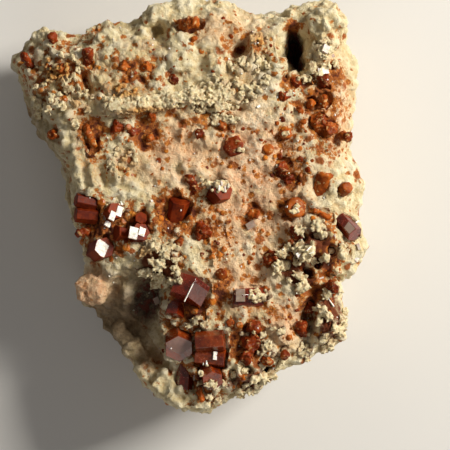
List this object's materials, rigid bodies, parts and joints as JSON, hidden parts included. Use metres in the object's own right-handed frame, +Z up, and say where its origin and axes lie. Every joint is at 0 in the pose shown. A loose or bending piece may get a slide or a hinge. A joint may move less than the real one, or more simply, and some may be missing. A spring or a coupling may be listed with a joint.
{
  "type": "vanadinite on matrix",
  "caption": "Mineral hand specimen: knobbly pale cream and peach rock with red-brown hexagonal vanadinite crystals, lying on its flat broken back.",
  "frame": {"origin": "middle of the footprint, on the surface that the specimen rests on", "axes": "+Z up out of the crystal face, +Y along the length towards the wide end, +X across towards the deep pocket's side"},
  "size_m": [0.0434, 0.0506, 0.0197],
  "materials": {
    "rock": "matt knobbly cream and peach rock with a granular cream crust and ochre stains",
    "crystal": "glossy, almost opaque red-brown to orange crystal with bright flat faces"
  },
  "bodies": {
    "root": {"matrix": "rock", "crystal_grey_end": "crystal", "crystal_bright_edge": "crystal", "crystal_lower_cluster": "crystal", "crystal_deep_red": "crystal", "crystal_lower_streak": "crystal", "crystal_grey_bar": "crystal", "crystal_silver_top": "crystal", "crystal_radiating_middle": "crystal", "crystal_big_dark": "crystal", "crystal_centre_dark": "crystal", "crystal_centre_orange": "crystal", "crystal_white_face": "crystal", "crystal_silver_left": "crystal", "crystal_largest_glint": "crystal", "crystal_left_pair": "crystal", "crystal_left_small": "crystal", "crystal_round_red": "crystal", "crystal_top_bar": "crystal", "crystal_top_small": "crystal", "crystal_right_cluster": "crystal", "crystal_right_outer": "crystal", "crystal_right_bead_1": "crystal", "crystal_right_bead_2": "crystal", "crystal_right_bead_3": "crystal", "crystal_edge_orange": "crystal", "crystal_under_pocket": "crystal", "crystal_corner_dark": "crystal", "crystal_ridge_end": "crystal", "crystal_upper_left": "crystal", "crystal_upper_left_bead": "crystal", "crystal_upper_left_bar": "crystal", "crystal_star": "crystal", "crystal_fan": "crystal", "crystal_arm_tip": "crystal", "crystal_arm_top": "crystal", "crystal_arm_ring": "crystal", "crystal_arm_side": "crystal", "crystal_left_edge": "crystal", "crystal_right_brown": "crystal", "crystal_ring": "crystal", "crystal_right_bar": "crystal", "crystal_slanted_bar": "crystal", "crystal_below_ring": "crystal", "crystal_basin_block": "crystal", "crystal_edge_low": "crystal", "crystal_cleft_upper": "crystal", "crystal_cleft_lower": "crystal", "crystal_low_group": "crystal", "crystal_low_bead_1": "crystal", "crystal_low_bead_2": "crystal", "crystal_low_bead_3": "crystal", "crystal_above_bar": "crystal", "crystal_basin_pair": "crystal", "crystal_right_glint": "crystal", "crystal_soft_brown": "crystal", "crystal_bead_ring": "crystal", "crystal_under_patch_1": "crystal", "crystal_under_patch_2": "crystal"}
  },
  "joints": []
}
